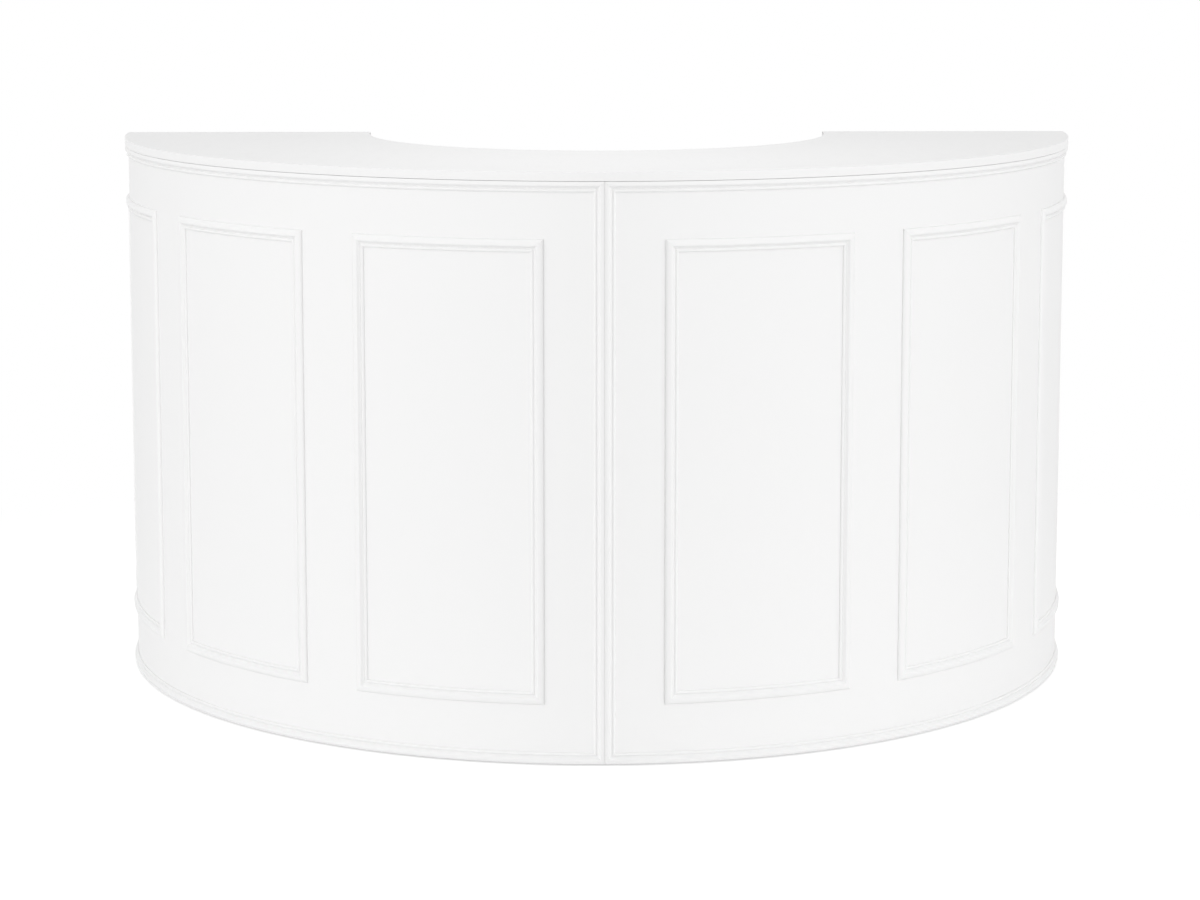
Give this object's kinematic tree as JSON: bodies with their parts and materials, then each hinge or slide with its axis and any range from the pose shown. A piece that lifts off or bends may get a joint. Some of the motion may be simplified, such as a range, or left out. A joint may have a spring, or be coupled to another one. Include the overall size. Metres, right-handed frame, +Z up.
{
  "type": "curved bar counter",
  "caption": "White half-round bar counter in quarter-circle sections, with a slab top, framed panel mouldings on the curved front and open shelves on the serving side.",
  "frame": {"origin": "on the floor, under the middle of the counter's box", "axes": "+Z up, +X along the straight back line, the curved front at -Y and the serving side at +Y"},
  "size_m": [1.908, 0.954, 1.067],
  "materials": {
    "top_laminate": "white laminated board, satin",
    "white_lacquer": "white sprayed lacquer, satin",
    "white_board": "white faced board with white edge band",
    "birch_plywood": "sealed birch plywood, matt",
    "beech": "plain turned beech",
    "black_phenolic": "moulded black phenolic",
    "zinc_steel": "zinc plated steel",
    "glide_nylon": "dark moulded nylon"
  },
  "bodies": {
    "left_section": {"left_counter_top": "top_laminate", "left_front_skin": "white_lacquer", "left_glides": "glide_nylon", "left_seam_panel": "white_board", "left_end_panel": "white_board", "left_base_plate": "white_board", "left_shelf": "white_board", "left_lower_divider": "white_board", "left_upper_divider": "white_board", "left_top_rib": "birch_plywood", "left_inner_rail": "birch_plywood", "left_base_strip": "white_lacquer", "left_top_strip": "white_lacquer", "left_seam_strip": "white_lacquer", "left_end_strip": "white_lacquer", "left_panel_1_bottom_rail": "white_lacquer", "left_panel_1_top_rail": "white_lacquer", "left_panel_1_seam_side_stile": "white_lacquer", "left_panel_1_end_side_stile": "white_lacquer", "left_panel_2_bottom_rail": "white_lacquer", "left_panel_2_top_rail": "white_lacquer", "left_panel_2_seam_side_stile": "white_lacquer", "left_panel_2_end_side_stile": "white_lacquer", "left_panel_3_bottom_rail": "white_lacquer", "left_panel_3_top_rail": "white_lacquer", "left_panel_3_seam_side_stile": "white_lacquer", "left_panel_3_end_side_stile": "white_lacquer", "seam_dowels": "beech"},
    "right_section": {"right_counter_top": "top_laminate", "right_front_skin": "white_lacquer", "right_glides": "glide_nylon", "right_seam_panel": "white_board", "right_end_panel": "white_board", "right_base_plate": "white_board", "right_shelf": "white_board", "right_lower_divider": "white_board", "right_upper_divider": "white_board", "right_top_rib": "birch_plywood", "right_inner_rail": "birch_plywood", "right_base_strip": "white_lacquer", "right_top_strip": "white_lacquer", "right_seam_strip": "white_lacquer", "right_end_strip": "white_lacquer", "right_panel_1_bottom_rail": "white_lacquer", "right_panel_1_top_rail": "white_lacquer", "right_panel_1_seam_side_stile": "white_lacquer", "right_panel_1_end_side_stile": "white_lacquer", "right_panel_2_bottom_rail": "white_lacquer", "right_panel_2_top_rail": "white_lacquer", "right_panel_2_seam_side_stile": "white_lacquer", "right_panel_2_end_side_stile": "white_lacquer", "right_panel_3_bottom_rail": "white_lacquer", "right_panel_3_top_rail": "white_lacquer", "right_panel_3_seam_side_stile": "white_lacquer", "right_panel_3_end_side_stile": "white_lacquer", "clamp_nuts": "zinc_steel"},
    "upper_clamp": {"upper_clamp_grip": "black_phenolic", "upper_clamp_stud": "zinc_steel"},
    "lower_clamp": {"lower_clamp_grip": "black_phenolic", "lower_clamp_stud": "zinc_steel"}
  },
  "joints": [
    {"name": "sections_apart", "type": "slide", "parent": "left_section", "child": "right_section", "axis": [1, 0, 0], "range_m": [0, 0.4]},
    {"name": "upper_clamp_turn", "type": "hinge", "parent": "left_section", "child": "upper_clamp", "pos_m": [-0.0183, -0.086, 0.78], "axis": [1, 0, 0], "continuous": true},
    {"name": "lower_clamp_turn", "type": "hinge", "parent": "left_section", "child": "lower_clamp", "pos_m": [-0.0183, -0.086, 0.27], "axis": [1, 0, 0], "continuous": true}
  ]
}
